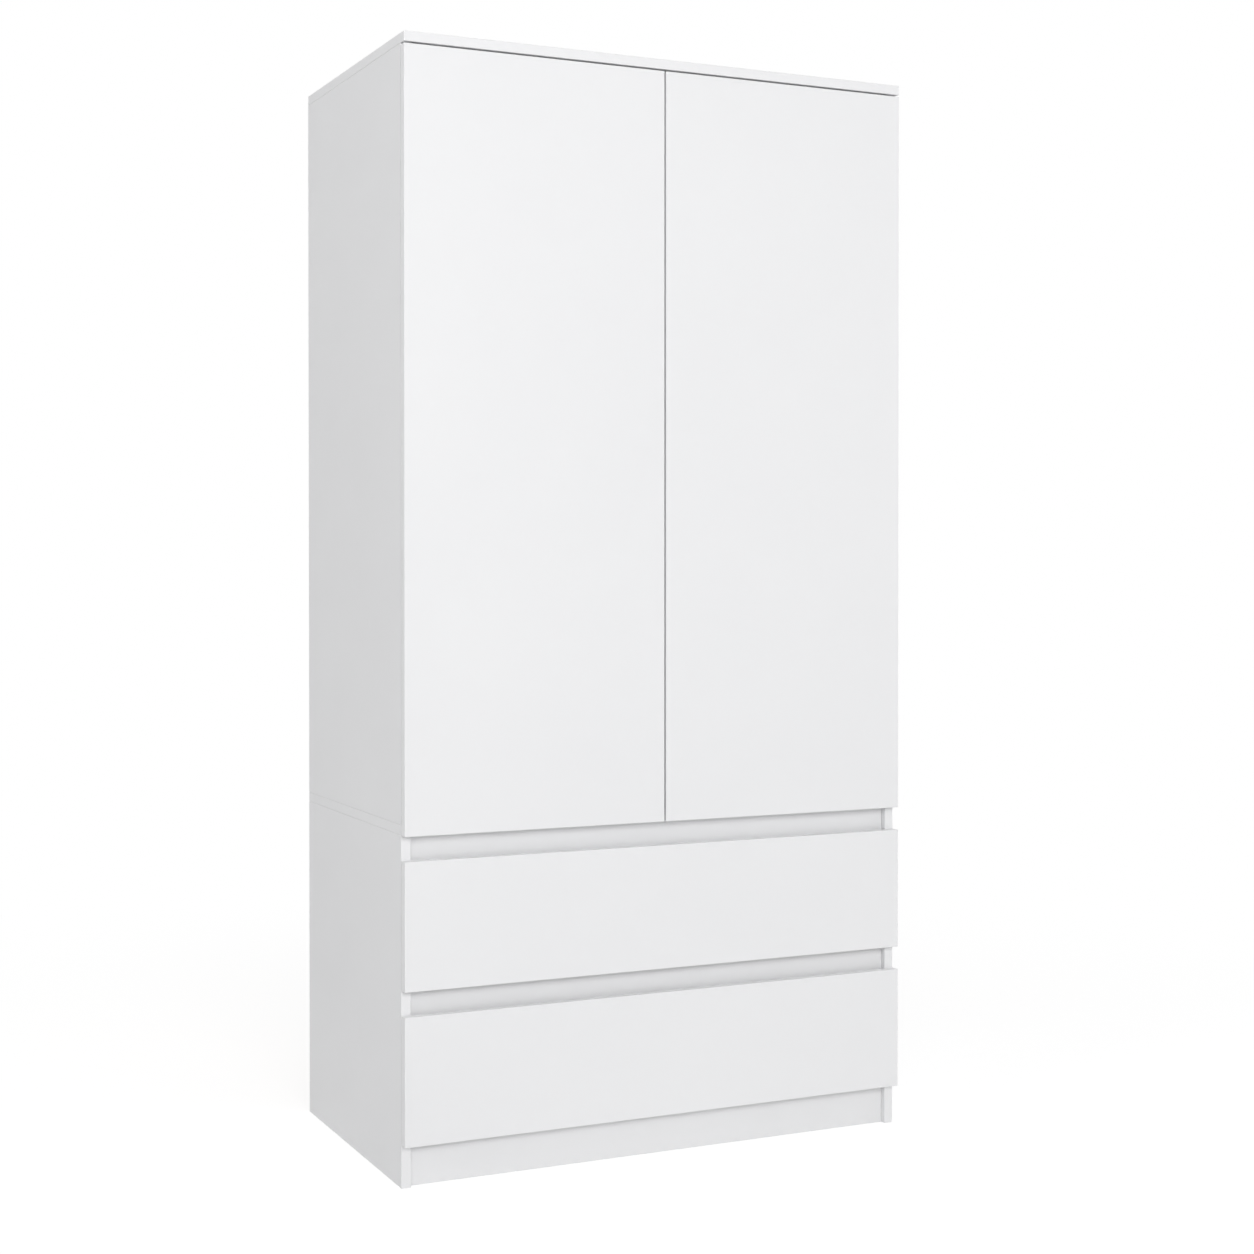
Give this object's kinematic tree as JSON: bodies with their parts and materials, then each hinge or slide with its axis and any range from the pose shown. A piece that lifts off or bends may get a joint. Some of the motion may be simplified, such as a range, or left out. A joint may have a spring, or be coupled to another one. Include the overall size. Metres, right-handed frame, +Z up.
{
  "type": "wardrobe with doors",
  "caption": "Wardrobe with handleless hinged doors over full-width drawers, grip gaps, a hat shelf and a hanging rail.",
  "frame": {"origin": "on the floor, under the middle of the body's width and depth", "axes": "+Z up, -Y towards the person at the doors, +X to that person's right"},
  "size_m": [0.9, 0.52, 1.8],
  "materials": {
    "white_foil": "matt white melamine foil on particle board",
    "back_sheet": "white-lacquered thin fibreboard",
    "zinc_steel": "zinc plated, satin",
    "chrome": "polished",
    "white_plastic": "white, fine grain"
  },
  "bodies": {
    "carcass": {"top_panel": "white_foil", "middle_panel": "white_foil", "upper_left_side": "white_foil", "upper_right_side": "white_foil", "lower_left_side": "white_foil", "lower_right_side": "white_foil", "bottom_panel": "white_foil", "plinth": "white_foil", "upper_grip_rail": "white_foil", "lower_grip_rail": "white_foil", "hat_shelf": "white_foil", "upper_back_left": "back_sheet", "upper_back_right": "back_sheet", "lower_back_panel": "back_sheet", "back_join_strip": "white_plastic", "hanging_rail": "chrome", "rail_socket_left": "white_plastic", "rail_socket_right": "white_plastic", "upper_left_slide_outer": "zinc_steel", "upper_right_slide_outer": "zinc_steel", "lower_left_slide_outer": "zinc_steel", "lower_right_slide_outer": "zinc_steel", "left_bottom_hinge_arm": "zinc_steel", "left_middle_hinge_arm": "zinc_steel", "left_top_hinge_arm": "zinc_steel", "right_bottom_hinge_arm": "zinc_steel", "right_middle_hinge_arm": "zinc_steel", "right_top_hinge_arm": "zinc_steel"},
    "left_hinge_links": {"left_bottom_hinge_link": "zinc_steel", "left_middle_hinge_link": "zinc_steel", "left_top_hinge_link": "zinc_steel"},
    "left_door": {"left_door": "white_foil", "left_bottom_hinge_cup": "zinc_steel", "left_middle_hinge_cup": "zinc_steel", "left_top_hinge_cup": "zinc_steel"},
    "right_hinge_links": {"right_bottom_hinge_link": "zinc_steel", "right_middle_hinge_link": "zinc_steel", "right_top_hinge_link": "zinc_steel"},
    "right_door": {"right_door": "white_foil", "right_bottom_hinge_cup": "zinc_steel", "right_middle_hinge_cup": "zinc_steel", "right_top_hinge_cup": "zinc_steel"},
    "upper_drawer": {"upper_drawer_front": "white_foil", "upper_drawer_left_side": "white_foil", "upper_drawer_right_side": "white_foil", "upper_drawer_back": "white_foil", "upper_drawer_bottom": "back_sheet", "upper_left_slide_inner": "zinc_steel", "upper_right_slide_inner": "zinc_steel"},
    "upper_slide_middles": {"upper_left_slide_middle": "zinc_steel", "upper_right_slide_middle": "zinc_steel"},
    "lower_drawer": {"lower_drawer_front": "white_foil", "lower_drawer_left_side": "white_foil", "lower_drawer_right_side": "white_foil", "lower_drawer_back": "white_foil", "lower_drawer_bottom": "back_sheet", "lower_left_slide_inner": "zinc_steel", "lower_right_slide_inner": "zinc_steel"},
    "lower_slide_middles": {"lower_left_slide_middle": "zinc_steel", "lower_right_slide_middle": "zinc_steel"}
  },
  "joints": [
    {"name": "left_door_swing", "type": "hinge", "parent": "left_hinge_links", "child": "left_door", "pos_m": [-0.441, -0.25, 1.1665], "axis": [0, 0, -1], "range_deg": [0, 137.5]},
    {"name": "left_link_swing", "type": "hinge", "parent": "carcass", "child": "left_hinge_links", "pos_m": [-0.42, -0.238, 1.1665], "axis": [0, 0, 1], "range_deg": [0, 27.6]},
    {"name": "right_door_swing", "type": "hinge", "parent": "right_hinge_links", "child": "right_door", "pos_m": [0.441, -0.25, 1.1665], "axis": [0, 0, 1], "range_deg": [0, 137.5]},
    {"name": "right_link_swing", "type": "hinge", "parent": "carcass", "child": "right_hinge_links", "pos_m": [0.42, -0.238, 1.1665], "axis": [0, 0, -1], "range_deg": [0, 27.6]},
    {"name": "upper_drawer_slide", "type": "slide", "parent": "carcass", "child": "upper_drawer", "axis": [0, -1, 0], "range_m": [0, 0.4]},
    {"name": "upper_middle_slide", "type": "slide", "parent": "carcass", "child": "upper_slide_middles", "axis": [0, -1, 0], "range_m": [0, 0.2]},
    {"name": "lower_drawer_slide", "type": "slide", "parent": "carcass", "child": "lower_drawer", "axis": [0, -1, 0], "range_m": [0, 0.4]},
    {"name": "lower_middle_slide", "type": "slide", "parent": "carcass", "child": "lower_slide_middles", "axis": [0, -1, 0], "range_m": [0, 0.2]}
  ],
  "couplings": [
    {"joint": "left_link_swing", "follows": "left_door_swing", "ratio": 0.2},
    {"joint": "right_link_swing", "follows": "right_door_swing", "ratio": 0.2},
    {"joint": "upper_middle_slide", "follows": "upper_drawer_slide", "ratio": 0.5},
    {"joint": "lower_middle_slide", "follows": "lower_drawer_slide", "ratio": 0.5}
  ]
}
